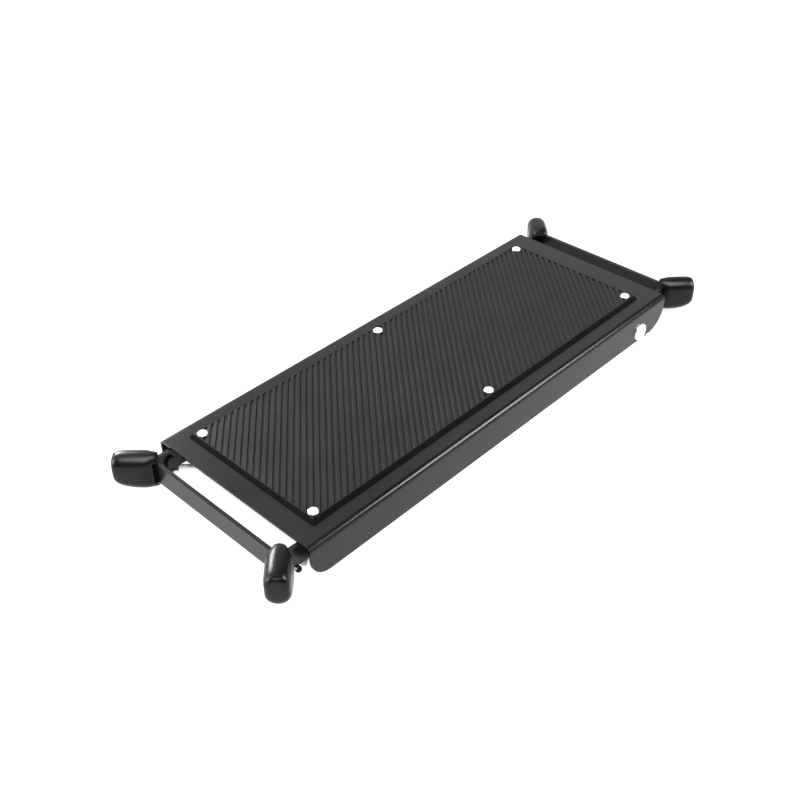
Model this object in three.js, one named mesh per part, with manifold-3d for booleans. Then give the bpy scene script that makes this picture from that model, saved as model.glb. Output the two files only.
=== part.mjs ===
// Folding footrest, folded flat: a folded-sheet deck with a rubber mat stands on two crossing
// flat-bar legs with rubber boots, and a wire stay ties the legs together when they are open.
// Millimetres, +Z up. Places are measured from the middle of the deck's top face; +X runs
// towards the end where the outer leg is hinged, and the finished model is then moved so that
// its origin is the bottom centre of the folded object.

import * as THREE from 'three';
import { mergeVertices } from 'three/addons/utils/BufferGeometryUtils.js';
import Module from 'manifold-3d';

const wasm = await Module();
wasm.setup();

// ---- Driving dimensions -------------------------------------------------------------------

const GAP = 0.3;            // between pieces that touch or are welded
const RUNNING = 0.09;       // radial clearance of a pin in its hole
const FLOOR_TO_TOP = 18.8;  // depth of the deck's side flanges

const DECK = { length: 267, width: 105, sheet: 1.2, bend: 3, leftCorner: 11, rightCorner: 13 };
const MAT = { length: 242.4, width: 86, thickness: 2, centreX: -1.8, corner: 0.6, lift: 0.2,
  slopeWide: 1.3, slopeHigh: 1.7 };
const MAT_RIVET = {
  columns: { left: -118.6, middle: -2.2, right: 114.2 },
  y: 38.3, shank: 1.6, head: 2.5, headHeight: 1.1, tail: 2.4, tailHeight: 1.1,
};

const BAR = { height: 11, thickness: 2, bend: 5 };
const EAR = { tip: 10.2, layer: 1.2 };
const BOOT = { length: 18.8, width: 11, height: 19.6, round: 5.4, edge: 3, splay: 0.5 };

const HINGE = { x: 110.6, z: -13 };            // outer leg on the deck's flanges
const SLIDE = { x: -112, z: -13, radius: 2 };  // inner leg's rod in the deck's rails
const OUTER_LEG = { footX: -143.5, footZ: -6.9, hingeY: 49.8, footY: 44.3, mouth: -1 };
const INNER_LEG = { footX: 145.1, slideY: 41.9, footY: 45.4, mouth: -3.2 };

const PIN_RADIUS = 2.5;
const HINGE_RIVET = { cap: 4.9, capHeight: 2.1, head: 4.2, headHeight: 1.4 };
const CROSSING_RIVET = { head: 4.4, headHeight: 1.4 };
const WASHER = { radius: 6, thickness: 1.2 };

const RAIL = { left: -124, right: 5, webY: 32.5, sheet: 1.2, footY: 41.5, webDepth: 17.4,
  slotRun: 45.4, slotPlay: 0.4, deepEnd: -54, slopeEnd: -44, shallow: 6 };
const RING = { radius: 4.5, thickness: 1.1 };

const STAY = { wire: 1.4, outset: 0.9, bar: 1.7, barHalf: 46.6, length: 207.1, hingeX: -135, innerY: 38.3,
  innerZ: -16.7, jogStart: 3.5, jogEnd: 14.5, head: 2.3, headHeight: 0.8 };
const LUG = { radius: 2.7, rise: 7, thickness: 1.2 };
const NOTCH = { count: 6, first: 92, last: 137, radius: 2.2, rise: 0.8 };

// ---- Values worked out from them ----------------------------------------------------------

const UNDERSIDE = -DECK.sheet;
const MAT_TOP = MAT.lift + MAT.thickness;
const BAR_HALF = BAR.height / 2;
const LEG_SLOPE = Math.atan2(OUTER_LEG.footZ - HINGE.z, HINGE.x - OUTER_LEG.footX);
const CROSSING_X = (HINGE.x + SLIDE.x) / 2;
const ARM_TO_CROSSING = (HINGE.x - CROSSING_X) / Math.cos(LEG_SLOPE);
const MIDDLE_X = (OUTER_LEG.footX + INNER_LEG.footX
  + (INNER_LEG.mouth - OUTER_LEG.mouth) * Math.SQRT1_2) / 2;
const SIDES = { front: -1, back: 1 };

const STEEL = { color: 0x1b1c1e, roughness: 0.42, metalness: 0.3 };
const ZINC = { color: 0xd9dcde, roughness: 0.25, metalness: 0.9 };
const RUBBER = { color: 0x17181a, roughness: 0.75, metalness: 0 };

// ---- Solids -------------------------------------------------------------------------------

function toSolid(geometry) {
  const bare = geometry.clone();
  bare.deleteAttribute('normal');
  bare.deleteAttribute('uv');
  const merged = mergeVertices(bare, 1e-4);
  return new wasm.Manifold(new wasm.Mesh({
    numProp: 3,
    vertProperties: new Float32Array(merged.attributes.position.array),
    triVerts: new Uint32Array(merged.index.array),
  }));
}

function toGeometry(solid) {
  const mesh = solid.getMesh();
  const geometry = new THREE.BufferGeometry();
  geometry.setAttribute('position', new THREE.BufferAttribute(mesh.vertProperties, 3));
  geometry.setIndex(new THREE.BufferAttribute(mesh.triVerts, 1));
  geometry.computeVertexNormals();
  return geometry;
}

function named(name, geometry, finish) {
  const mesh = new THREE.Mesh(geometry, new THREE.MeshStandardMaterial(finish));
  mesh.name = name;
  return mesh;
}

// A pin, hole or disc along Y between two distances from the middle plane, on one side of it.
function crossCylinder(radius, from, to, x, z, side, segments = 24) {
  const geometry = new THREE.CylinderGeometry(radius, radius, to - from, segments);
  return geometry.translate(x, (side * (from + to)) / 2, z);
}

// A shape drawn in X and Z, given a thickness along Y from yLow to yHigh.
function extrudeAcross(shape, yLow, yHigh, curveSegments = 8) {
  const geometry = new THREE.ExtrudeGeometry(shape, {
    depth: yHigh - yLow, bevelEnabled: false, curveSegments,
  });
  return geometry.rotateX(Math.PI / 2).translate(0, yHigh, 0);
}

function sideSpan(side, near, far) {
  return side > 0 ? [near, far] : [-far, -near];
}

// ---- Paths --------------------------------------------------------------------------------

// The corner points with each inner corner rounded: an arc of the given radius, in short steps.
function rounded(corners, radii, stepAngle = Math.PI / 10) {
  const path = [corners[0].clone()];
  for (let i = 1; i < corners.length - 1; i += 1) {
    const before = corners[i - 1].clone().sub(corners[i]).normalize();
    const after = corners[i + 1].clone().sub(corners[i]).normalize();
    const half = before.angleTo(after) / 2;
    const towards = before.clone().add(after).normalize();
    const centre = corners[i].clone().addScaledVector(towards, radii[i - 1] / Math.sin(half));
    const reach = radii[i - 1] / Math.tan(half);
    const start = corners[i].clone().addScaledVector(before, reach).sub(centre);
    const end = corners[i].clone().addScaledVector(after, reach).sub(centre);
    const sweep = start.angleTo(end);
    const steps = Math.max(2, Math.round(sweep / stepAngle));
    for (let k = 0; k <= steps; k += 1) {
      const a = Math.sin((1 - k / steps) * sweep) / Math.sin(sweep);
      const b = Math.sin((k / steps) * sweep) / Math.sin(sweep);
      path.push(centre.clone().addScaledVector(start, a).addScaledVector(end, b));
    }
  }
  path.push(corners[corners.length - 1].clone());
  return path.filter((point, i) => i === 0 || point.distanceTo(path[i - 1]) > 0.01);
}

// Where two lines in the XY plane meet, each given by a point and a direction.
function meet(pointA, alongA, pointB, alongB) {
  const across = alongA.x * alongB.y - alongA.y * alongB.x;
  const offset = pointB.clone().sub(pointA);
  return pointA.clone().addScaledVector(alongA, (offset.x * alongB.y - offset.y * alongB.x) / across);
}

// The outline of a strip of the bar's thickness along a path in the XY plane.
function stripShape(path, thickness) {
  const left = [];
  const right = [];
  path.forEach((point, i) => {
    const back = point.clone().sub(path[Math.max(i - 1, 0)]);
    const ahead = path[Math.min(i + 1, path.length - 1)].clone().sub(point);
    const inward = (back.length() > 0 ? back : ahead).clone().normalize();
    const outward = (ahead.length() > 0 ? ahead : back).clone().normalize();
    const along = inward.clone().add(outward).normalize();
    const reach = thickness / 2 / along.dot(inward);
    left.push(new THREE.Vector2(point.x - along.y * reach, point.y + along.x * reach));
    right.push(new THREE.Vector2(point.x + along.y * reach, point.y - along.x * reach));
  });
  return new THREE.Shape([...left, ...right.reverse()]);
}

// A round wire along a path, its rings set in the mitre planes at the path's points.
function sweptWire(path, radius, sides = 10) {
  const steps = path.slice(1).map((point, i) => point.clone().sub(path[i]).normalize());
  const helper = Math.abs(steps[0].z) > 0.9 ? new THREE.Vector3(1, 0, 0) : new THREE.Vector3(0, 0, 1);
  const first = new THREE.Vector3().crossVectors(steps[0], helper).normalize();
  let ring = Array.from({ length: sides }, (_, k) => first.clone()
    .applyAxisAngle(steps[0], (2 * Math.PI * k) / sides).multiplyScalar(radius));
  const positions = [];
  path.forEach((point, i) => {
    const inward = steps[Math.max(i - 1, 0)];
    const outward = steps[Math.min(i, steps.length - 1)];
    const mitre = inward.clone().add(outward).normalize();
    ring = ring.map((offset) => offset.clone()
      .addScaledVector(inward, -offset.dot(mitre) / inward.dot(mitre)));
    ring.forEach((offset) => positions.push(point.x + offset.x, point.y + offset.y, point.z + offset.z));
    ring = ring.map((offset) => offset.clone().addScaledVector(outward, -offset.dot(outward)));
  });
  const faces = [];
  for (let i = 0; i < steps.length; i += 1) {
    for (let k = 0; k < sides; k += 1) {
      const here = i * sides + k;
      const next = i * sides + ((k + 1) % sides);
      faces.push(here, next, next + sides, here, next + sides, here + sides);
    }
  }
  const last = steps.length * sides;
  for (let k = 1; k < sides - 1; k += 1) {
    faces.push(0, k + 1, k, last, last + k, last + k + 1);
  }
  const geometry = new THREE.BufferGeometry();
  geometry.setAttribute('position', new THREE.Float32BufferAttribute(positions, 3));
  geometry.setIndex(faces);
  return geometry;
}

// ---- Deck and mat -------------------------------------------------------------------------

// The folded sheet's section in Y and Z, open underneath.
function deckSection() {
  const half = DECK.width / 2;
  const inner = half - DECK.sheet;
  const bendIn = DECK.bend - DECK.sheet;
  const shape = new THREE.Shape();
  shape.moveTo(-half, -FLOOR_TO_TOP);
  shape.lineTo(-inner, -FLOOR_TO_TOP);
  shape.lineTo(-inner, -DECK.bend);
  shape.absarc(-inner + bendIn, -DECK.bend, bendIn, Math.PI, Math.PI / 2, true);
  shape.lineTo(inner - bendIn, UNDERSIDE);
  shape.absarc(inner - bendIn, -DECK.bend, bendIn, Math.PI / 2, 0, true);
  shape.lineTo(inner, -FLOOR_TO_TOP);
  shape.lineTo(half, -FLOOR_TO_TOP);
  shape.lineTo(half, -DECK.bend);
  shape.absarc(half - DECK.bend, -DECK.bend, DECK.bend, 0, Math.PI / 2, false);
  shape.lineTo(-half + DECK.bend, 0);
  shape.absarc(-half + DECK.bend, -DECK.bend, DECK.bend, Math.PI / 2, Math.PI, false);
  return shape;
}

// The deck seen from the side: a rectangle whose two bottom corners are well rounded.
function deckProfile() {
  const half = DECK.length / 2;
  const { leftCorner, rightCorner } = DECK;
  const shape = new THREE.Shape();
  shape.moveTo(-half, 1);
  shape.lineTo(-half, -FLOOR_TO_TOP + leftCorner);
  shape.absarc(-half + leftCorner, -FLOOR_TO_TOP + leftCorner, leftCorner,
    Math.PI, 1.5 * Math.PI, false);
  shape.lineTo(half - rightCorner, -FLOOR_TO_TOP);
  shape.absarc(half - rightCorner, -FLOOR_TO_TOP + rightCorner, rightCorner,
    1.5 * Math.PI, 2 * Math.PI, false);
  shape.lineTo(half, 1);
  return shape;
}

function deckGeometry() {
  const sheet = new THREE.ExtrudeGeometry(deckSection(), {
    depth: DECK.length, bevelEnabled: false, curveSegments: 6,
  });
  sheet.rotateX(Math.PI / 2).rotateZ(Math.PI / 2).translate(-DECK.length / 2, 0, 0);
  let solid = toSolid(sheet).intersect(toSolid(extrudeAcross(deckProfile(), -60, 60, 10)));
  for (const x of Object.values(MAT_RIVET.columns)) {
    for (const side of Object.values(SIDES)) {
      solid = solid.subtract(toSolid(uprightHole(x, side * MAT_RIVET.y)));
    }
  }
  const hole = PIN_RADIUS + GAP;
  for (const side of Object.values(SIDES)) {
    solid = solid.subtract(toSolid(crossCylinder(hole, 48, 56, HINGE.x, HINGE.z, side)));
  }
  return toGeometry(solid);
}

function uprightHole(x, y) {
  const hole = new THREE.CylinderGeometry(MAT_RIVET.shank + GAP, MAT_RIVET.shank + GAP, 20, 16);
  return hole.rotateX(Math.PI / 2).translate(x, y, 0);
}

function roundedRectangle(width, height, radius) {
  const shape = new THREE.Shape();
  const w = width / 2 - radius;
  const h = height / 2 - radius;
  shape.absarc(w, h, radius, 0, Math.PI / 2, false);
  shape.absarc(-w, h, radius, Math.PI / 2, Math.PI, false);
  shape.absarc(-w, -h, radius, Math.PI, 1.5 * Math.PI, false);
  shape.absarc(w, -h, radius, 1.5 * Math.PI, 2 * Math.PI, false);
  return shape;
}

function matGeometry() {
  const { slopeWide, slopeHigh } = MAT;
  const shape = roundedRectangle(MAT.length - 2 * slopeWide, MAT.width - 2 * slopeWide, MAT.corner);
  const slab = new THREE.ExtrudeGeometry(shape, {
    depth: MAT.thickness - slopeHigh, curveSegments: 3,
    bevelThickness: slopeHigh, bevelSize: slopeWide, bevelSegments: 1,
  });
  slab.translate(MAT.centreX, 0, MAT.lift);
  const below = new THREE.BoxGeometry(MAT.length + 10, MAT.width + 10, 4);
  below.translate(MAT.centreX, 0, MAT.lift - 2);
  let solid = toSolid(slab).subtract(toSolid(below));
  for (const x of Object.values(MAT_RIVET.columns)) {
    for (const side of Object.values(SIDES)) {
      solid = solid.subtract(toSolid(uprightHole(x, side * MAT_RIVET.y)));
    }
  }
  return toGeometry(solid);
}

// A domed rivet on its own axis (Y up): the profile runs from the tail's middle to the dome's.
function rivetProfile({ domeRadius, domeHeight, domeBase, shank, tailRadius, tailHeight, tailTop }) {
  const points = [
    new THREE.Vector2(0, tailTop - tailHeight),
    new THREE.Vector2(tailRadius * 0.8, tailTop - tailHeight),
    new THREE.Vector2(tailRadius, tailTop - tailHeight * 0.6),
    new THREE.Vector2(tailRadius, tailTop),
    new THREE.Vector2(shank, tailTop),
    new THREE.Vector2(shank, domeBase),
    new THREE.Vector2(domeRadius, domeBase),
  ];
  const domeSteps = 4;
  for (let k = 1; k < domeSteps; k += 1) {
    const angle = (k / domeSteps) * (Math.PI / 2);
    points.push(new THREE.Vector2(
      domeRadius * Math.cos(angle), domeBase + domeHeight * Math.sin(angle)));
  }
  points.push(new THREE.Vector2(0, domeBase + domeHeight));
  return points;
}

function matRivetGeometry(x, y, seat) {
  const profile = rivetProfile({
    domeRadius: MAT_RIVET.head, domeHeight: MAT_RIVET.headHeight, domeBase: MAT_TOP + 0.1,
    shank: MAT_RIVET.shank,
    tailRadius: MAT_RIVET.tail, tailHeight: MAT_RIVET.tailHeight, tailTop: seat - GAP,
  });
  return new THREE.LatheGeometry(profile, 16).rotateX(Math.PI / 2).translate(x, y, 0);
}

// ---- Rails --------------------------------------------------------------------------------

const RAIL_TOP = UNDERSIDE - GAP;
const RAIL_FOOT = RAIL_TOP - RAIL.sheet;

function railGeometry(side) {
  const web = new THREE.Shape();
  web.moveTo(RAIL.left, RAIL_TOP);
  web.lineTo(RAIL.left, -RAIL.webDepth + 4);
  web.lineTo(RAIL.left + 4, -RAIL.webDepth);
  web.lineTo(RAIL.deepEnd, -RAIL.webDepth);
  web.lineTo(RAIL.slopeEnd, -RAIL.shallow);
  web.lineTo(RAIL.right, -RAIL.shallow);
  web.lineTo(RAIL.right, RAIL_TOP);
  const slotRadius = SLIDE.radius + RAIL.slotPlay;
  const slot = new THREE.Path();
  slot.absarc(SLIDE.x, SLIDE.z, slotRadius, Math.PI / 2, 1.5 * Math.PI, false);
  slot.absarc(SLIDE.x + RAIL.slotRun, SLIDE.z, slotRadius, 1.5 * Math.PI, 2.5 * Math.PI, false);
  web.holes.push(slot);
  const [low, high] = sideSpan(side, RAIL.webY, RAIL.webY + RAIL.sheet);
  const foot = new THREE.BoxGeometry(RAIL.right - RAIL.left, RAIL.footY - RAIL.webY, RAIL.sheet);
  foot.translate((RAIL.left + RAIL.right) / 2, (side * (RAIL.footY + RAIL.webY)) / 2,
    RAIL_TOP - RAIL.sheet / 2);
  let solid = toSolid(extrudeAcross(web, low, high)).add(toSolid(foot));
  for (const x of [MAT_RIVET.columns.left, MAT_RIVET.columns.middle]) {
    solid = solid.subtract(toSolid(uprightHole(x, side * MAT_RIVET.y)));
  }
  return toGeometry(solid);
}

// ---- Legs ---------------------------------------------------------------------------------

// A leg is drawn about its top pivot, lying along X: `towards` is the sign of its foot's side,
// `reach` the distance to the crossbar, and the arms taper from topY to footY.
function legPath({ towards, reach, topY, footY }) {
  const corner = new THREE.Vector3(towards * reach, footY, 0);
  const out = new THREE.Vector3(towards, 1, 0).normalize();
  const toArm = new THREE.Vector3(-towards, 1, 0).normalize();
  const top = new THREE.Vector3(-towards * BAR_HALF * 1.2, topY, 0);
  const alongArm = corner.clone().sub(new THREE.Vector3(0, topY, 0)).normalize();
  top.y -= alongArm.y * BAR_HALF * 1.2;
  const armLayer = corner.clone().addScaledVector(toArm, EAR.layer);
  const barLayer = corner.clone().addScaledVector(toArm, -EAR.layer);
  const half = [
    top,
    meet(top, alongArm, armLayer, out),
    armLayer.clone().addScaledVector(out, EAR.tip + EAR.layer),
    barLayer.clone().addScaledVector(out, EAR.tip + EAR.layer),
    meet(corner, new THREE.Vector3(0, 1, 0), barLayer, out),
  ];
  const mirrored = half.map((p) => new THREE.Vector3(p.x, -p.y, p.z)).reverse();
  const bends = [BAR.bend, EAR.layer, EAR.layer, BAR.bend];
  return rounded([...half, ...mirrored], [...bends, ...[...bends].reverse()]);
}

// The leg's outline from the side: a long bar with a round end at the top pivot.
function legProfile(towards, reach) {
  const shape = new THREE.Shape();
  const far = towards * (reach + 40);
  if (towards > 0) {
    shape.absarc(0, 0, BAR_HALF, Math.PI / 2, 1.5 * Math.PI, false);
    shape.lineTo(far, -BAR_HALF);
    shape.lineTo(far, BAR_HALF);
  } else {
    shape.absarc(0, 0, BAR_HALF, -Math.PI / 2, Math.PI / 2, false);
    shape.lineTo(far, BAR_HALF);
    shape.lineTo(far, -BAR_HALF);
  }
  return shape;
}

function legGeometry(leg, topHole, notchXs) {
  const strip = new THREE.ExtrudeGeometry(stripShape(legPath(leg), BAR.thickness), {
    depth: BAR.height, bevelEnabled: false,
  });
  strip.translate(0, 0, -BAR_HALF);
  const outline = extrudeAcross(legProfile(leg.towards, leg.reach), -90, 90, 12);
  let solid = toSolid(strip).intersect(toSolid(outline));
  const crossingX = leg.towards * ARM_TO_CROSSING;
  for (const side of Object.values(SIDES)) {
    solid = solid.subtract(toSolid(crossCylinder(topHole, 30, 60, 0, 0, side)));
    solid = solid.subtract(
      toSolid(crossCylinder(PIN_RADIUS + RUNNING, 30, 60, crossingX, 0, side)));
    for (const x of notchXs) {
      const z = -BAR_HALF - NOTCH.rise;
      solid = solid.subtract(toSolid(crossCylinder(NOTCH.radius, 30, 60, x, z, side, 16)));
    }
  }
  return toGeometry(solid);
}

// How far an arm's middle is from the centre plane, at a distance along it from its top pivot.
function armY(leg, distance) {
  return leg.topY + ((leg.footY - leg.topY) * distance) / leg.reach;
}

const outerLeg = {
  towards: -1, reach: (HINGE.x - OUTER_LEG.footX) / Math.cos(LEG_SLOPE),
  topY: OUTER_LEG.hingeY, footY: OUTER_LEG.footY, mouth: OUTER_LEG.mouth,
};
const innerLeg = {
  towards: 1, reach: (INNER_LEG.footX - SLIDE.x) / Math.cos(LEG_SLOPE),
  topY: INNER_LEG.slideY, footY: INNER_LEG.footY, mouth: INNER_LEG.mouth,
};

// A rubber boot pushed over an ear: a block along the ear with round top and bottom, a pocket
// for the ear, and cheeks cut away where the crossbar and the arm leave it.
function bootGeometry(leg, side) {
  const section = roundedRectangle(
    BOOT.width - 2 * BOOT.edge, BOOT.height - 2 * BOOT.edge, BOOT.round - BOOT.edge);
  const block = new THREE.ExtrudeGeometry(section, {
    depth: BOOT.length, curveSegments: 4,
    bevelThickness: BOOT.edge, bevelSize: BOOT.edge, bevelSegments: 4,
  });
  block.translate(0, 0, leg.mouth - BOOT.edge);
  const behind = new THREE.BoxGeometry(60, 60, 20).translate(0, 0, leg.mouth - 10);
  const pocketHalf = EAR.layer + BAR.thickness / 2 + GAP;
  const pocketEnd = EAR.tip + pocketHalf;
  const pocket = new THREE.Shape([
    new THREE.Vector2(-pocketHalf, pocketEnd),
    new THREE.Vector2(-pocketHalf, BOOT.splay),
    new THREE.Vector2(-pocketHalf - 20, BOOT.splay - 20),
    new THREE.Vector2(pocketHalf + 20, BOOT.splay - 20),
    new THREE.Vector2(pocketHalf, BOOT.splay),
    new THREE.Vector2(pocketHalf, pocketEnd),
  ]);
  const pocketHeight = BAR_HALF + GAP;
  const geometry = toGeometry(toSolid(block).subtract(toSolid(behind))
    .subtract(toSolid(extrudeAcross(pocket, -pocketHeight, pocketHeight))));
  const out = new THREE.Vector3(leg.towards, side, 0).normalize();
  const up = new THREE.Vector3(0, 0, 1);
  const across = new THREE.Vector3().crossVectors(up, out);
  const turn = new THREE.Matrix4().makeBasis(across, up, out);
  const corner = new THREE.Vector3(leg.towards * leg.reach, side * leg.footY, 0);
  return geometry.applyMatrix4(turn).translate(corner.x, corner.y, corner.z);
}

// A pin along Y with a dome or a flat head outside and a flat head inside.
function sideRivetGeometry({ outerRadius, outerHeight, outerY, innerRadius, innerHeight, innerY }) {
  const profile = rivetProfile({
    domeRadius: outerRadius, domeHeight: outerHeight, domeBase: outerY, shank: PIN_RADIUS,
    tailRadius: innerRadius, tailHeight: innerHeight, tailTop: innerY,
  });
  return new THREE.LatheGeometry(profile, 24);
}

// The same piece for both sides: the front one is the back one turned about Z.
function onSide(geometry, side, x, z) {
  if (side < 0) {
    geometry.rotateZ(Math.PI);
  }
  return geometry.translate(x, 0, z);
}

// ---- Wire stay ----------------------------------------------------------------------------

// The stay's hinge, in the outer leg's own frame: just under the arms, near the foot.
const STAY_ARM_X = -(HINGE.x - STAY.hingeX) / Math.cos(LEG_SLOPE);
const STAY_ARM_Z = -BAR_HALF - GAP - STAY.wire;
const STAY_Y = armY(outerLeg, -STAY_ARM_X);
const LUG_Y = STAY_Y - BAR.thickness / 2 - GAP - LUG.thickness;
const STAY_HINGE = new THREE.Vector3(STAY_ARM_X, 0, STAY_ARM_Z)
  .applyAxisAngle(new THREE.Vector3(0, 1, 0), LEG_SLOPE)
  .add(new THREE.Vector3(HINGE.x, 0, HINGE.z));

function lugGeometry(side) {
  const shape = new THREE.Shape();
  shape.absarc(0, 0, LUG.radius, Math.PI, 2 * Math.PI, false);
  shape.absarc(0, LUG.rise, LUG.radius, 0, Math.PI, false);
  const eye = new THREE.Path();
  eye.absarc(0, 0, STAY.wire + RUNNING, 0, 2 * Math.PI, true);
  shape.holes.push(eye);
  const [low, high] = sideSpan(side, LUG_Y, LUG_Y + LUG.thickness);
  return extrudeAcross(shape, low, high, 10).translate(STAY_ARM_X, 0, STAY_ARM_Z);
}

function stayGeometry() {
  const { x, z } = STAY_HINGE;
  const headY = LUG_Y - GAP - STAY.headHeight;
  const barX = x + STAY.length;
  const barHalves = crossCylinder(STAY.bar, -STAY.barHalf, STAY.barHalf, barX, STAY.innerZ, 1, 16);
  let solid = toSolid(barHalves);
  for (const side of Object.values(SIDES)) {
    const corners = [
      new THREE.Vector3(x, side * (headY + STAY.headHeight / 2), z),
      new THREE.Vector3(x, side * (STAY_Y + STAY.outset), z),
      new THREE.Vector3(x + STAY.jogStart, side * (STAY_Y + STAY.outset), z),
      new THREE.Vector3(x + STAY.jogEnd, side * STAY.innerY, STAY.innerZ),
      new THREE.Vector3(barX, side * STAY.innerY, STAY.innerZ),
    ];
    const wire = sweptWire(rounded(corners, [1.6, 3, 3]), STAY.wire);
    solid = solid.add(toSolid(wire));
    solid = solid.add(toSolid(
      crossCylinder(STAY.head, headY, headY + STAY.headHeight, x, z, side, 16)));
  }
  return toGeometry(solid);
}

// ---- Assembly -----------------------------------------------------------------------------

const deckGroup = new THREE.Group();
deckGroup.add(named('deck', deckGeometry(), STEEL));
deckGroup.add(named('mat', matGeometry(), RUBBER));
for (const [column, x] of Object.entries(MAT_RIVET.columns)) {
  const seat = column === 'right' ? UNDERSIDE : RAIL_FOOT;
  for (const [sideName, side] of Object.entries(SIDES)) {
    const geometry = matRivetGeometry(x, side * MAT_RIVET.y, seat);
    deckGroup.add(named(`mat_rivet_${column}_${sideName}`, geometry, ZINC));
  }
}
for (const [sideName, side] of Object.entries(SIDES)) {
  deckGroup.add(named(`slide_rail_${sideName}`, railGeometry(side), STEEL));
  const hingeRivet = sideRivetGeometry({
    outerRadius: HINGE_RIVET.cap, outerHeight: HINGE_RIVET.capHeight,
    outerY: DECK.width / 2 + 0.1, innerRadius: HINGE_RIVET.head,
    innerHeight: HINGE_RIVET.headHeight, innerY: armY(outerLeg, 0) - BAR.thickness / 2 - GAP,
  });
  deckGroup.add(named(`hinge_rivet_${sideName}`,
    onSide(hingeRivet, side, HINGE.x, HINGE.z), ZINC));
}

const outerGroup = new THREE.Group();
outerGroup.position.set(HINGE.x, 0, HINGE.z);
outerGroup.rotation.y = LEG_SLOPE;
outerGroup.add(named('outer_leg', legGeometry(outerLeg, PIN_RADIUS + RUNNING, []), STEEL));
const outerCrossingY = armY(outerLeg, ARM_TO_CROSSING);
const innerCrossingY = armY(innerLeg, ARM_TO_CROSSING);
const barReach = BAR.thickness / 2 + GAP;
for (const [sideName, side] of Object.entries(SIDES)) {
  outerGroup.add(named(`boot_left_${sideName}`, bootGeometry(outerLeg, side), RUBBER));
  const crossingRivet = sideRivetGeometry({
    outerRadius: CROSSING_RIVET.head, outerHeight: CROSSING_RIVET.headHeight,
    outerY: outerCrossingY + barReach, innerRadius: CROSSING_RIVET.head,
    innerHeight: CROSSING_RIVET.headHeight, innerY: innerCrossingY - barReach,
  });
  outerGroup.add(named(`crossing_rivet_${sideName}`,
    onSide(crossingRivet, side, -ARM_TO_CROSSING, 0), ZINC));
  const washerY = (outerCrossingY + innerCrossingY - WASHER.thickness) / 2;
  const washer = toSolid(crossCylinder(WASHER.radius, washerY, washerY + WASHER.thickness,
    -ARM_TO_CROSSING, 0, side)).subtract(toSolid(
    crossCylinder(PIN_RADIUS + RUNNING, 30, 60, -ARM_TO_CROSSING, 0, side)));
  outerGroup.add(named(`crossing_washer_${sideName}`, toGeometry(washer), ZINC));
  outerGroup.add(named(`stay_lug_${sideName}`, lugGeometry(side), STEEL));
}

const notchXs = Array.from({ length: NOTCH.count }, (_, k) => ARM_TO_CROSSING
  + NOTCH.first + ((NOTCH.last - NOTCH.first) * k) / (NOTCH.count - 1));
const innerGroup = new THREE.Group();
innerGroup.position.set(SLIDE.x, 0, SLIDE.z);
innerGroup.rotation.y = -LEG_SLOPE;
innerGroup.add(named('inner_leg',
  legGeometry(innerLeg, SLIDE.radius + RUNNING, notchXs), STEEL));
const rodHalf = INNER_LEG.slideY + BAR.thickness / 2 + GAP;
innerGroup.add(named('slide_rod',
  crossCylinder(SLIDE.radius, -rodHalf, rodHalf, 0, 0, 1, 20), ZINC));
for (const [sideName, side] of Object.entries(SIDES)) {
  innerGroup.add(named(`boot_right_${sideName}`, bootGeometry(innerLeg, side), RUBBER));
  const ringY = RAIL.webY + RAIL.sheet + GAP;
  const ring = toSolid(crossCylinder(RING.radius, ringY, ringY + RING.thickness, 0, 0, side, 20))
    .subtract(toSolid(crossCylinder(SLIDE.radius + RUNNING, 30, 60, 0, 0, side, 20)));
  innerGroup.add(named(`rod_ring_${sideName}`, toGeometry(ring), ZINC));
}

const footrest = new THREE.Group();
footrest.add(deckGroup, outerGroup, innerGroup);
footrest.add(named('wire_stay', stayGeometry(), ZINC));
footrest.position.set(-MIDDLE_X, 0, FLOOR_TO_TOP);

export default footrest;
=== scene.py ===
"""Looks of a folding footrest: satin black sheet and bar, ribbed rubber mat, rubber boots, zinc fittings."""

import math

import bmesh
import bpy
from mathutils import Matrix, Vector


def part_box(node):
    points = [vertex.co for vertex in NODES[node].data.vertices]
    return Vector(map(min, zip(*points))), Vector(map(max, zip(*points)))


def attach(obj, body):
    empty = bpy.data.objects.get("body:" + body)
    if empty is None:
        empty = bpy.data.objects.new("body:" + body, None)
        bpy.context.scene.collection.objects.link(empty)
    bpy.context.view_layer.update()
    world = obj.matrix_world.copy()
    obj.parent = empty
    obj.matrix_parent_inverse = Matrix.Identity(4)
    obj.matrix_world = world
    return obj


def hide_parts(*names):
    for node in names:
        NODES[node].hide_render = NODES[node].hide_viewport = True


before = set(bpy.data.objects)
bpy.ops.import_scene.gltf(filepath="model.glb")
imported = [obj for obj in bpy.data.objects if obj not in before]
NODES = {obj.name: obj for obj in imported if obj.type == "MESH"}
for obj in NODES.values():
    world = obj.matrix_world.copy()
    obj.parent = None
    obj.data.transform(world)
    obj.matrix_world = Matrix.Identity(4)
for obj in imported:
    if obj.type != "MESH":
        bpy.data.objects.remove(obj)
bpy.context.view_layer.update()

MM = 0.001
SIDES = {"front": -1, "back": 1}


def corners(node):
    """The lowest and highest corners of a CAD node at rest."""
    low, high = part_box(node)
    return Vector(low), Vector(high)


# ---- Camera ---------------------------------------------------------------------------------

DECK_LOW, DECK_HIGH = corners("deck")
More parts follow.
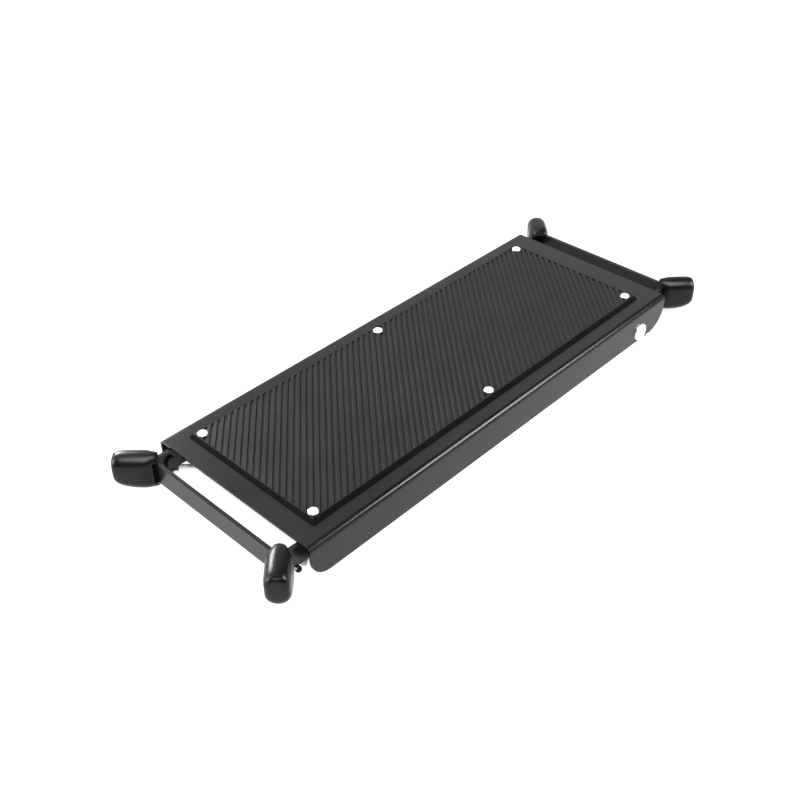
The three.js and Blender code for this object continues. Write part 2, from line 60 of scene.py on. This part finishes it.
# The aim is on the deck's top, left of its middle and towards the front.
AIM_LEFT = 35.3 * MM
AIM_FORWARD = 9.7 * MM
CAMERA_AIM = Vector((
    (DECK_LOW.x + DECK_HIGH.x) / 2 - AIM_LEFT,
    (DECK_LOW.y + DECK_HIGH.y) / 2 - AIM_FORWARD,
    DECK_HIGH.z,
))
CAMERA_AZIMUTH = math.radians(-45.44)
CAMERA_ELEVATION = math.radians(37.91)
CAMERA_ROLL = math.radians(-1.11)
CAMERA_DISTANCE = 512.6 * MM
CAMERA_LENS = 47.2
CAMERA_SENSOR = 36
CAMERA_CLIP = 10 * MM


def make_camera():
    """The camera looks at CAMERA_AIM from its azimuth and elevation, turned a little about its own axis."""
    back = Vector((
        math.sin(CAMERA_AZIMUTH) * math.cos(CAMERA_ELEVATION),
        -math.cos(CAMERA_AZIMUTH) * math.cos(CAMERA_ELEVATION),
        math.sin(CAMERA_ELEVATION),
    ))
    right = Vector((0, 0, 1)).cross(back).normalized()
    turned = Matrix((right, back.cross(right), back)).transposed() @ Matrix.Rotation(CAMERA_ROLL, 3, "Z")
    data = bpy.data.cameras.new("camera")
    data.lens = CAMERA_LENS
    data.sensor_width = CAMERA_SENSOR
    data.clip_start = CAMERA_CLIP
    camera = bpy.data.objects.new("camera", data)
    camera.matrix_world = Matrix.Translation(CAMERA_AIM + back * CAMERA_DISTANCE) @ turned.to_4x4()
    bpy.context.scene.collection.objects.link(camera)
    bpy.context.scene.camera = camera


# ---- Materials ------------------------------------------------------------------------------

# The part of a noise texture's range that its output mostly fills.
NOISE_LOW = 0.3
NOISE_HIGH = 0.7


def new_material(name, colour, roughness, metallic=0.0, specular=0.5):
    """A node material and its shader, with the values that are the same all over set on the shader."""
    material = bpy.data.materials.new(name)
    material.use_nodes = True
    shader = material.node_tree.nodes["Principled BSDF"]
    shader.inputs["Base Color"].default_value = (*colour, 1)
    shader.inputs["Roughness"].default_value = roughness
    shader.inputs["Metallic"].default_value = metallic
    shader.inputs["Specular IOR Level"].default_value = specular
    return material, shader


def noise(material, scale, detail):
    """A noise texture in object space, so it stays with its piece."""
    nodes = material.node_tree.nodes
    coordinates = nodes.new("ShaderNodeTexCoord")
    texture = nodes.new("ShaderNodeTexNoise")
    texture.inputs["Scale"].default_value = scale
    texture.inputs["Detail"].default_value = detail
    material.node_tree.links.new(coordinates.outputs["Object"], texture.inputs["Vector"])
    return texture


def vary(material, socket, texture, low, high):
    """Moves a shader value between low and high by a texture."""
    mapping = material.node_tree.nodes.new("ShaderNodeMapRange")
    mapping.inputs["From Min"].default_value = NOISE_LOW
    mapping.inputs["From Max"].default_value = NOISE_HIGH
    mapping.inputs["To Min"].default_value = low
    mapping.inputs["To Max"].default_value = high
    material.node_tree.links.new(texture.outputs["Fac"], mapping.inputs["Value"])
    material.node_tree.links.new(mapping.outputs["Result"], socket)


def tint(material, shader, texture, dark, light):
    """Varies the base colour between two close tones by a texture."""
    ramp = material.node_tree.nodes.new("ShaderNodeValToRGB")
    ramp.color_ramp.elements[0].position = NOISE_LOW
    ramp.color_ramp.elements[1].position = NOISE_HIGH
    ramp.color_ramp.elements[0].color = (*dark, 1)
    ramp.color_ramp.elements[1].color = (*light, 1)
    material.node_tree.links.new(texture.outputs["Fac"], ramp.inputs["Fac"])
    material.node_tree.links.new(ramp.outputs["Color"], shader.inputs["Base Color"])


def roughen(material, shader, texture, strength, distance):
    """A fine bump from a texture."""
    bump = material.node_tree.nodes.new("ShaderNodeBump")
    bump.inputs["Strength"].default_value = strength
    bump.inputs["Distance"].default_value = distance
    material.node_tree.links.new(texture.outputs["Fac"], bump.inputs["Height"])
    material.node_tree.links.new(bump.outputs["Normal"], shader.inputs["Normal"])


def paint_material():
    """Satin black enamel: faint cloudy tone and roughness, with a fine orange peel."""
    material, shader = new_material("black_enamel", (0.004, 0.004, 0.0042), roughness=0.26, specular=0.26)
    cloud = noise(material, scale=35, detail=3)
    tint(material, shader, cloud, dark=(0.003, 0.003, 0.0032), light=(0.005, 0.005, 0.0053))
    vary(material, shader.inputs["Roughness"], cloud, low=0.22, high=0.27)
    roughen(material, shader, noise(material, scale=900, detail=2), strength=0.12, distance=0.06 * MM)
    return material


def mat_material():
    """Moulded black rubber, matt, a little greyer in patches."""
    material, shader = new_material("mat_rubber", (0.004, 0.004, 0.004), roughness=0.45, specular=0.24)
    cloud = noise(material, scale=60, detail=4)
    tint(material, shader, cloud, dark=(0.003, 0.003, 0.003), light=(0.006, 0.006, 0.006))
    vary(material, shader.inputs["Roughness"], cloud, low=0.4, high=0.48)
    roughen(material, shader, noise(material, scale=2600, detail=2), strength=0.2, distance=0.05 * MM)
    return material


def mat_edge_shade_material():
    """The mat rubber made darker and duller, nearly black: painted shade on the mat's sloping skirt."""
    material, shader = new_material("mat_edge_painted_shade", (0.003, 0.003, 0.003), roughness=0.85, specular=0.05)
    cloud = noise(material, scale=200, detail=4)
    tint(material, shader, cloud, dark=(0.002, 0.002, 0.002), light=(0.004, 0.004, 0.004))
    roughen(material, shader, noise(material, scale=2600, detail=2), strength=0.2, distance=0.05 * MM)
    return material


def boot_material():
    """Moulded black rubber with a soft sheen."""
    material, shader = new_material("boot_rubber", (0.003, 0.003, 0.0032), roughness=0.3, specular=0.2)
    cloud = noise(material, scale=130, detail=4)
    tint(material, shader, cloud, dark=(0.002, 0.002, 0.0021), light=(0.004, 0.004, 0.0042))
    vary(material, shader.inputs["Roughness"], cloud, low=0.26, high=0.32)
    roughen(material, shader, noise(material, scale=2200, detail=3), strength=0.25, distance=0.08 * MM)
    return material


def zinc_material():
    """Bright zinc plate with faint cloudiness."""
    material, shader = new_material("zinc_plate", (0.85, 0.85, 0.86), roughness=0.25, metallic=0.7)
    cloud = noise(material, scale=300, detail=4)
    tint(material, shader, cloud, dark=(0.84, 0.84, 0.85), light=(0.95, 0.95, 0.95))
    vary(material, shader.inputs["Roughness"], cloud, low=0.16, high=0.32)
    return material


PAINT = paint_material()
MAT_RUBBER = mat_material()
MAT_EDGE_SHADE = mat_edge_shade_material()
BOOT_RUBBER = boot_material()
ZINC = zinc_material()

# ---- CAD nodes that keep their shape --------------------------------------------------------

PAINTED_NODES = ("deck", "outer_leg", "inner_leg", "slide_rail", "stay_lug")
SOFTENED_NODES = ("deck", "outer_leg", "inner_leg", "slide_rail_front", "slide_rail_back")
WELD_DISTANCE = 0.005 * MM
FLAT_ANGLE = math.radians(1)
BEVEL_WIDTH = 0.25 * MM
BEVEL_ANGLE = math.radians(35)


def soften(obj):
    """Rounds a CAD object's sharp edges with modifiers, its mesh left as it is."""
    weld = obj.modifiers.new("weld", "WELD")
    weld.merge_threshold = WELD_DISTANCE
    flatten = obj.modifiers.new("flatten", "DECIMATE")
    flatten.decimate_type = "DISSOLVE"
    flatten.angle_limit = FLAT_ANGLE
    bevel = obj.modifiers.new("bevel", "BEVEL")
    bevel.width = BEVEL_WIDTH
    bevel.segments = 2
    bevel.limit_method = "ANGLE"
    bevel.angle_limit = BEVEL_ANGLE
    obj.modifiers.new("normals", "WEIGHTED_NORMAL").keep_sharp = False


for node_name, node_object in NODES.items():
    node_object.data.materials.clear()
    node_object.data.materials.append(PAINT if node_name.startswith(PAINTED_NODES) else ZINC)

for node_name in SOFTENED_NODES:
    soften(NODES[node_name])

# ---- Building pieces ------------------------------------------------------------------------

DOUBLES_DISTANCE = 1e-7
SHARP_ANGLE = math.radians(50)


def add_piece(name, mesh, material, body, slot_name, *replaced):
    """A smooth-shaded object that rides on a body and stands for the CAD nodes named last."""
    mesh.materials.append(material)
    mesh.polygons.foreach_set("use_smooth", [True] * len(mesh.polygons))
    obj = bpy.data.objects.new(name, mesh)
    bpy.context.scene.collection.objects.link(obj)
    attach(obj, body)
    if replaced:
        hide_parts(*replaced)
    return obj


def keep_edges_sharp(obj):
    """Splits the edges that are too sharp for smooth shading."""
    obj.modifiers.new("sharp_edges", "EDGE_SPLIT").split_angle = SHARP_ANGLE


def finish_mesh(bm, name):
    """The mesh of a bmesh with doubles merged and normals outward."""
    bmesh.ops.remove_doubles(bm, verts=bm.verts, dist=DOUBLES_DISTANCE)
    bmesh.ops.recalc_face_normals(bm, faces=bm.faces)
    mesh = bpy.data.meshes.new(name)
    bm.to_mesh(mesh)
    bm.free()
    return mesh


def join_rings(bm, rings):
    """Faces between each ring of points and the next."""
    for lower, upper in zip(rings, rings[1:]):
        for i in range(len(lower)):
            bm.faces.new((lower[i - 1], lower[i], upper[i], upper[i - 1]))


# ---- Mat ------------------------------------------------------------------------------------

MAT_LOW, MAT_HIGH = corners("mat")
RIB_PITCH = 3.0 * MM
RIB_HEIGHT = 0.65 * MM
RIB_ANGLE = math.radians(48)
# A rib's section: how far across the pitch, and how high, both as shares.
RIB_PROFILE = ((0.0, 0.0), (0.25, 0.0), (0.40, 1.0), (0.85, 1.0), (1.0, 0.0))
MAT_SLOPE = 1.3 * MM
MAT_RIM = 0.5 * MM
MAT_RIM_CHAMFER = 0.1 * MM
MAT_SHOULDER = 0.15 * MM
MAT_SHOULDER_DROP = 0.12 * MM
MAT_FOOT = 0.2 * MM


def clip(polygon, low, high, axis):
    """The part of a flat polygon whose coordinate on one axis is between low and high."""
    for limit, keep in ((low, 1), (high, -1)):
        kept = []
        for i, here in enumerate(polygon):
            before = polygon[i - 1]
            inside = keep * (here[axis] - limit) >= 0
            if inside != (keep * (before[axis] - limit) >= 0):
                kept.append(before.lerp(here, (limit - before[axis]) / (here[axis] - before[axis])))
            if inside:
                kept.append(here)
        polygon = kept
    return polygon


def rectangle(bm, inset, z):
    """A ring of four corners inside the mat's outline."""
    low_x, high_x = MAT_LOW.x + inset, MAT_HIGH.x - inset
    low_y, high_y = MAT_LOW.y + inset, MAT_HIGH.y - inset
    outline = ((low_x, low_y), (high_x, low_y), (high_x, high_y), (low_x, high_y))
    return [bm.verts.new((x, y, z)) for x, y in outline]


def mat_mesh():
    """The mat's field of diagonal ribs, made of strips along the ribs cut off at a plain rim."""
    bm = bmesh.new()
    top = MAT_HIGH.z
    border = MAT_SLOPE + MAT_RIM
    low = Vector((MAT_LOW.x + border, MAT_LOW.y + border))
    high = Vector((MAT_HIGH.x - border, MAT_HIGH.y - border))
    middle = (low + high).to_3d() / 2
    along = Vector((math.cos(RIB_ANGLE), math.sin(RIB_ANGLE), 0))
    across = Vector((-along.y, along.x, 0))
    reach = (high - low).length / 2
    count = int(reach / RIB_PITCH) + 1
    for rib in range(-count, count):
        for (start, start_height), (end, end_height) in zip(RIB_PROFILE, RIB_PROFILE[1:]):
            edges = []
            for offset, height in ((start, start_height), (end, end_height)):
                lift = Vector((0, 0, top - RIB_HEIGHT * (1 - height)))
                edges.append(middle + across * (rib + offset) * RIB_PITCH + lift)
            strip = [edges[0] - along * reach, edges[0] + along * reach,
                     edges[1] + along * reach, edges[1] - along * reach]
            strip = clip(clip(strip, low.x, high.x, 0), low.y, high.y, 1)
            if len(strip) > 2:
                bm.faces.new([bm.verts.new(point) for point in strip])
    join_rings(bm, [
        rectangle(bm, border, top - RIB_HEIGHT),
        rectangle(bm, border, top - MAT_RIM_CHAMFER),
        rectangle(bm, border - MAT_RIM_CHAMFER, top),
        rectangle(bm, MAT_SLOPE + MAT_SHOULDER, top),
    ])
    return finish_mesh(bm, "ribbed_mat")


def mat_edge_mesh():
    """The mat's sloping skirt and flat underside."""
    bm = bmesh.new()
    rings = [
        rectangle(bm, MAT_SLOPE + MAT_SHOULDER, MAT_HIGH.z),
        rectangle(bm, MAT_SLOPE - MAT_SHOULDER, MAT_HIGH.z - MAT_SHOULDER_DROP),
        rectangle(bm, MAT_FOOT, MAT_LOW.z + 2 * MAT_FOOT),
        rectangle(bm, 0.0, MAT_LOW.z + MAT_FOOT),
        rectangle(bm, 0.0, MAT_LOW.z),
    ]
    join_rings(bm, rings)
    bm.faces.new(rings[-1])
    return finish_mesh(bm, "mat_edge")


# The skirt takes a darker, duller copy of the mat rubber, as painted shade along the mat's edges.
for mat in (add_piece("ribbed_mat", mat_mesh(), MAT_RUBBER, "deck_body", "mat_rubber", "mat"),
            add_piece("mat_edge", mat_edge_mesh(), MAT_EDGE_SHADE, "deck_body", "mat_rubber")):
    mat.data.polygons.foreach_set("use_smooth", [False] * len(mat.data.polygons))

# ---- Boots ----------------------------------------------------------------------------------

# A folded leg rises by LEG_RISE over LEG_RUN on its way from its hinge to its foot.
LEG_RISE = 6.1 * MM
LEG_RUN = 254.1 * MM
LEG_SLOPE = math.atan2(LEG_RISE, LEG_RUN)
BOOT_LENGTH = 18.8 * MM
BOOT_HALF_WIDTH = 5.9 * MM
BOOT_HALF_HEIGHT = 9.75 * MM
BOOT_BODIES = {"left": "outer_leg_body", "right": "inner_leg_body"}
BOOT_DIRECTIONS = {"left": -1, "right": 1}
POCKET_HALF = 2.4 * MM
POCKET_HALF_HEIGHT = 5.7 * MM
POCKET_FLARE = 20 * MM
POCKET_DEPTH = {"left": 14.0 * MM, "right": 16.2 * MM}
POCKET_SPLAY = {"left": 1.5 * MM, "right": 3.7 * MM}
# How far a boot's mouth reaches back over the corner, past the CAD boot's mouth.
MOUTH_REACH = {"left": 1.8 * MM, "right": 0.0}
# The boots are pushed on by hand: how much further out along its ear each one sits.
BOOT_SLIP = {"left_front": 0.0, "left_back": 1.8 * MM, "right_front": 0.8 * MM, "right_back": -1.2 * MM}
# Distance from the mouth as a share of the length, then the share of the half width that the
# sides keep, and the share of the half height that the top and the bottom keep.
BOOT_STATIONS = (
    (0.0, 0.48, 0.90, 0.90), (0.0, 0.54, 0.93, 0.93), (0.02, 0.59, 0.945, 0.945),
    (0.20, 0.93, 0.985, 0.985), (0.24, 0.97, 0.99, 0.99), (0.27, 0.99, 0.995, 0.995),
    (0.31, 1.0, 1.0, 1.0), (0.50, 1.0, 1.0, 0.985),
    (0.66, 0.99, 1.0, 0.93), (0.78, 0.98, 0.99, 0.86), (0.87, 0.95, 0.965, 0.77),
    (0.93, 0.90, 0.92, 0.68), (0.97, 0.81, 0.85, 0.58), (0.992, 0.68, 0.75, 0.46),
    (1.0, 0.50, 0.60, 0.32),
)
BOOT_POINTS = 48
# The dimple's middle as shares of the boot's half height and length, and its three half sizes.
DIMPLE_HEIGHT = 0.93
DIMPLE_REACH = 0.96
DIMPLE_SIZE = (1.7 * MM, 1.3 * MM, 1.3 * MM)


def boot_section(width, top, bottom):
    """A tall section with full round ends, as points in its own plane."""
    points = []
    for i in range(BOOT_POINTS):
        angle = 2 * math.pi * i / BOOT_POINTS
        lift = top - width if math.sin(angle) > 0 else width - bottom
        points.append((width * math.cos(angle), width * math.sin(angle) + lift))
    return points


def boot_block(reach):
    """A boot without its pocket, along +Z from its mouth, built from rings of its section."""
    bm = bmesh.new()
    rings = []
    for share, wide, top, bottom in BOOT_STATIONS:
        section = boot_section(BOOT_HALF_WIDTH * wide, BOOT_HALF_HEIGHT * top, BOOT_HALF_HEIGHT * bottom)
        height = share * (BOOT_LENGTH + reach) - reach
        rings.append([bm.verts.new((x, y, height)) for x, y in section])
    join_rings(bm, rings)
    bm.faces.new(rings[0])
    bm.faces.new(rings[-1])
    return finish_mesh(bm, "boot_block")


def pocket_cutter(depth, splay):
    """The space inside a boot: a slot for the ear, opening out where the two bars leave it."""
    bm = bmesh.new()
    wide = POCKET_HALF + POCKET_FLARE
    outline = (
        (-POCKET_HALF, depth), (-POCKET_HALF, splay), (-wide, splay - POCKET_FLARE),
        (wide, splay - POCKET_FLARE), (POCKET_HALF, splay), (POCKET_HALF, depth),
    )
    rings = [[bm.verts.new((x, y, z)) for x, z in outline]
             for y in (-POCKET_HALF_HEIGHT, POCKET_HALF_HEIGHT)]
    join_rings(bm, rings)
    bm.faces.new(rings[0])
    bm.faces.new(rings[1])
    return finish_mesh(bm, "pocket")


def dimple_cutter():
    """A flattened ball that leaves a small moulded dimple where a boot's top meets its end."""
    bm = bmesh.new()
    bmesh.ops.create_uvsphere(bm, u_segments=20, v_segments=12, radius=1.0)
    centre = Vector((0, BOOT_HALF_HEIGHT * DIMPLE_HEIGHT, BOOT_LENGTH * DIMPLE_REACH))
    bm.transform(Matrix.Translation(centre) @ Matrix.Diagonal((*DIMPLE_SIZE, 1)))
    return finish_mesh(bm, "dimple")


def cut_away(block, cutter):
    """A new mesh: the block less the cutter."""
    block_object = bpy.data.objects.new("cut_block", block)
    cutter_object = bpy.data.objects.new("cut_tool", cutter)
    for obj in (block_object, cutter_object):
        bpy.context.scene.collection.objects.link(obj)
    difference = block_object.modifiers.new("cut", "BOOLEAN")
    difference.operation = "DIFFERENCE"
    difference.object = cutter_object
    difference.solver = "EXACT"
    evaluated = block_object.evaluated_get(bpy.context.evaluated_depsgraph_get())
    mesh = bpy.data.meshes.new_from_object(evaluated)
    for obj in (block_object, cutter_object):
        bpy.data.objects.remove(obj)
    return mesh


def boot_mesh(end):
    """A boot with its pocket and dimple, along +Z from its mouth."""
    hollow = cut_away(boot_block(MOUTH_REACH[end]), pocket_cutter(POCKET_DEPTH[end], POCKET_SPLAY[end]))
    return cut_away(hollow, dimple_cutter())


def add_boot(end, side_name):
    """A boot on one corner, pointing out along the diagonal and tilted as its folded leg is."""
    towards = BOOT_DIRECTIONS[end]
    node = f"boot_{end}_{side_name}"
    low, high = corners(node)
    out = Vector((towards, SIDES[side_name], 0)).normalized()
    up = Vector((0, 0, 1))
    place = Matrix((up.cross(out), up, out)).transposed().to_4x4()
    tilt = Matrix.Rotation(-towards * LEG_SLOPE, 4, "Y")
    slip = Matrix.Translation((0, 0, BOOT_SLIP[f"{end}_{side_name}"] - BOOT_LENGTH / 2))
    mesh = boot_mesh(end)
    mesh.transform(Matrix.Translation((low + high) / 2) @ tilt @ place @ slip)
    boot = add_piece(f"rubber_{node}", mesh, BOOT_RUBBER, BOOT_BODIES[end], "boot_rubber", node)
    keep_edges_sharp(boot)


for boot_end in BOOT_BODIES:
    for boot_side in SIDES:
        add_boot(boot_end, boot_side)

# ---- Rivets ---------------------------------------------------------------------------------

TURNED_SEGMENTS = 40
DOME_STEPS = 8
# In square metres: a smaller face is a leftover at the axis, where a ring has shrunk to a point.
SMALLEST_FACE = 1e-14
# The radius and height of the flat tail, the radius of the shank, and the domed head's radius and height.
MAT_RIVET = {"tail": 2.4 * MM, "tail_height": 1.1 * MM, "shank": 1.6 * MM,
             "head": 2.5 * MM, "head_height": 1.1 * MM}
HINGE_RIVET = {"tail": 4.2 * MM, "tail_height": 1.4 * MM, "shank": 2.5 * MM,
               "head": 4.9 * MM, "head_height": 2.1 * MM}
CROSSING_RIVET = {"tail": 4.2 * MM, "tail_height": 1.4 * MM, "shank": 2.5 * MM,
                  "head": 4.4 * MM, "head_height": 1.4 * MM}
# The tail's end is narrowed to this share of its radius over this share of its height.
TAIL_END = 0.85
TAIL_EDGE = 0.4
# The head's straight rim as a share of its height; the rest is the dome.
HEAD_RIM = 0.2


def dome(radius, height, base):
    """The half outline of a dome standing on base, from its rim to its middle."""
    angles = [k / DOME_STEPS * math.pi / 2 for k in range(DOME_STEPS + 1)]
    return [(radius * math.cos(angle), base + height * math.sin(angle)) for angle in angles]


def rivet_outline(length, tail, tail_height, shank, head, head_height):
    """A rivet's outline about the middle of its length: flat tail, shank and domed head."""
    end = -length / 2
    seat = length / 2 - head_height
    outline = [
        (0, end),
        (tail * TAIL_END, end),
        (tail, end + tail_height * TAIL_EDGE),
        (tail, end + tail_height),
        (shank, end + tail_height),
        (shank, seat),
        (head, seat),
    ]
    return outline + dome(head, head_height * (1 - HEAD_RIM), seat + head_height * HEAD_RIM)


def turned_mesh(outline, name):
    """A solid turned about Z from an outline of (radius, height)."""
    bm = bmesh.new()
    turns = [2 * math.pi * i / TURNED_SEGMENTS for i in range(TURNED_SEGMENTS)]
    rings = []
    for radius, height in outline:
        rings.append([bm.verts.new((radius * math.cos(turn), radius * math.sin(turn), height))
                      for turn in turns])
    join_rings(bm, rings)
    bmesh.ops.remove_doubles(bm, verts=bm.verts, dist=DOUBLES_DISTANCE)
    for sliver in [face for face in bm.faces if face.calc_area() < SMALLEST_FACE]:
        bm.faces.remove(sliver)
    return finish_mesh(bm, name)


def add_rivet(node, sizes, axis, body):
    """A rivet with a smooth head in place of a CAD rivet, its head towards axis."""
    low, high = corners(node)
    length = (high - low).dot(Vector([abs(part) for part in axis]))
    turn = Vector((0, 0, 1)).rotation_difference(axis).to_matrix().to_4x4()
    mesh = turned_mesh(rivet_outline(length, **sizes), node)
    mesh.transform(Matrix.Translation((low + high) / 2) @ turn)
    keep_edges_sharp(add_piece(f"{node}_turned", mesh, ZINC, body, "zinc", node))


def outwards(node):
    """The direction out of the object at a node whose name ends in its side."""
    return Vector((0, SIDES[node.rsplit("_", 1)[-1]], 0))


for node_name in sorted(NODES):
    if node_name.startswith("mat_rivet"):
        add_rivet(node_name, MAT_RIVET, Vector((0, 0, 1)), "deck_body")
    elif node_name.startswith("hinge_rivet"):
        add_rivet(node_name, HINGE_RIVET, outwards(node_name), "deck_body")
    elif node_name.startswith("crossing_rivet"):
        add_rivet(node_name, CROSSING_RIVET, outwards(node_name), "outer_leg_body")

# ---- Bushes on the wire stay ----------------------------------------------------------------

STAY_RADIUS = 1.4 * MM
BUSH_RADIUS = 1.9 * MM
BUSH_HALF = 1.0 * MM
# A bush's middle, in from the stay's left end and down from its top.
BUSH_INSET = 2.2 * MM
BUSH_DROP = 2.6 * MM
BUSH_OUTLINE = (
    (STAY_RADIUS, -BUSH_HALF),
    (BUSH_RADIUS * 0.75, -BUSH_HALF),
    (BUSH_RADIUS, -BUSH_HALF * 0.6),
    (BUSH_RADIUS, BUSH_HALF * 0.5),
    (BUSH_RADIUS * 0.8, BUSH_HALF),
    (STAY_RADIUS, BUSH_HALF),
)


def add_bush(side_name):
    """A rubber bush over a bend of the wire stay, beside its pivot in the outer leg's lug."""
    low, high = corners("wire_stay")
    centre = Vector((
        low.x + BUSH_INSET,
        SIDES[side_name] * (high.y - STAY_RADIUS),
        high.z - BUSH_DROP,
    ))
    mesh = turned_mesh(BUSH_OUTLINE, "stay_bush")
    mesh.transform(Matrix.Translation(centre) @ Matrix.Rotation(math.pi / 2, 4, "Y"))
    add_piece(f"stay_bush_{side_name}", mesh, BOOT_RUBBER, "stay_body", "boot_rubber")


for bush_side in SIDES:
    add_bush(bush_side)

# ---- Floor and light ------------------------------------------------------------------------

# The floor's half side in metres, its depth under the object, and the light it gives of its own.
FLOOR_HALF = 4.0
FLOOR_DROP = 0.2 * MM
FLOOR_COLOUR = (0.28, 0.28, 0.28)
FLOOR_ROUGHNESS = 0.9
FLOOR_SPECULAR = 0.1
FLOOR_GLOW = 0.85
FLOOR_GLOW_COLOUR = (1, 1, 0.995)
SUN_AZIMUTH = math.radians(-45)
SUN_ELEVATION = math.radians(66)
SUN_ANGLE = math.radians(44)
SUN_STRENGTH = 5
# The surround's strength behind the object and on the camera's side, and where it changes over.
BACK_STRENGTH = 1.15
FRONT_STRENGTH = 0.08
CHANGE_START = -0.05
CHANGE_END = 0.5
# Each lamp's place, aim and size in metres, and its power in watts.
LAMPS = {
    "back_light": ((-0.1, 0.62, 0.3), (0, 0, 0), 0.3, 1.0),
    "rib_light": ((-0.1, 0.3, 0.14), (-0.12, 0, 0), 0.12, 1.5),
    "right_fill": ((0.42, -0.5, 0.4), (0.26, -0.2, 0), 0.3, 6.5),
    "left_fill": ((-0.5, 0.3, 0.16), (-0.2, 0, 0), 0.25, 2.5),
}


def make_floor():
    """A plain white floor just under the object, lit a little from below as a light table is."""
    bm = bmesh.new()
    bmesh.ops.create_grid(bm, x_segments=1, y_segments=1, size=FLOOR_HALF)
    floor_mesh = bpy.data.meshes.new("floor")
    bm.to_mesh(floor_mesh)
    bm.free()
    floor = bpy.data.objects.new("floor", floor_mesh)
    floor.location.z = -FLOOR_DROP
    bpy.context.scene.collection.objects.link(floor)
    material, shader = new_material("floor", FLOOR_COLOUR, FLOOR_ROUGHNESS, specular=FLOOR_SPECULAR)
    shader.inputs["Emission Color"].default_value = (*FLOOR_GLOW_COLOUR, 1)
    shader.inputs["Emission Strength"].default_value = FLOOR_GLOW
    floor_mesh.materials.append(material)


def make_lamp(name, place, aim, size, power):
    """A soft square light at a place, turned to its aim."""
    data = bpy.data.lights.new(name, "AREA")
    data.shape = "SQUARE"
    data.size = size
    data.energy = power
    lamp = bpy.data.objects.new(name, data)
    turned = (Vector(aim) - Vector(place)).to_track_quat("-Z", "Y").to_matrix().to_4x4()
    lamp.matrix_world = Matrix.Translation(place) @ turned
    bpy.context.scene.collection.objects.link(lamp)


def make_sun():
    """A wide soft sun from the camera's side and high up."""
    data = bpy.data.lights.new("sky_glow", "SUN")
    data.energy = SUN_STRENGTH
    data.angle = SUN_ANGLE
    sun = bpy.data.objects.new("sky_glow", data)
    sun.rotation_euler = (math.pi / 2 - SUN_ELEVATION, 0, SUN_AZIMUTH)
    bpy.context.scene.collection.objects.link(sun)


def make_world():
    """A surround that is bright behind the object, as a white sweep is, and dark on the camera's side."""
    world = bpy.data.worlds.new("studio")
    world.use_nodes = True
    nodes = world.node_tree.nodes
    links = world.node_tree.links
    coordinates = nodes.new("ShaderNodeTexCoord")
    split = nodes.new("ShaderNodeSeparateXYZ")
    ramp = nodes.new("ShaderNodeMapRange")
    ramp.interpolation_type = "SMOOTHSTEP"
    ramp.inputs["From Min"].default_value = CHANGE_START
    ramp.inputs["From Max"].default_value = CHANGE_END
    ramp.inputs["To Min"].default_value = FRONT_STRENGTH
    ramp.inputs["To Max"].default_value = BACK_STRENGTH
    links.new(coordinates.outputs["Generated"], split.inputs[0])
    links.new(split.outputs["Y"], ramp.inputs["Value"])
    links.new(ramp.outputs["Result"], nodes["Background"].inputs["Strength"])
    nodes["Background"].inputs["Color"].default_value = (1, 1, 1, 1)
    bpy.context.scene.world = world


make_floor()
make_sun()
for lamp_name, lamp_values in LAMPS.items():
    make_lamp(lamp_name, *lamp_values)
make_world()
bpy.context.scene.view_settings.view_transform = "Standard"
make_camera()
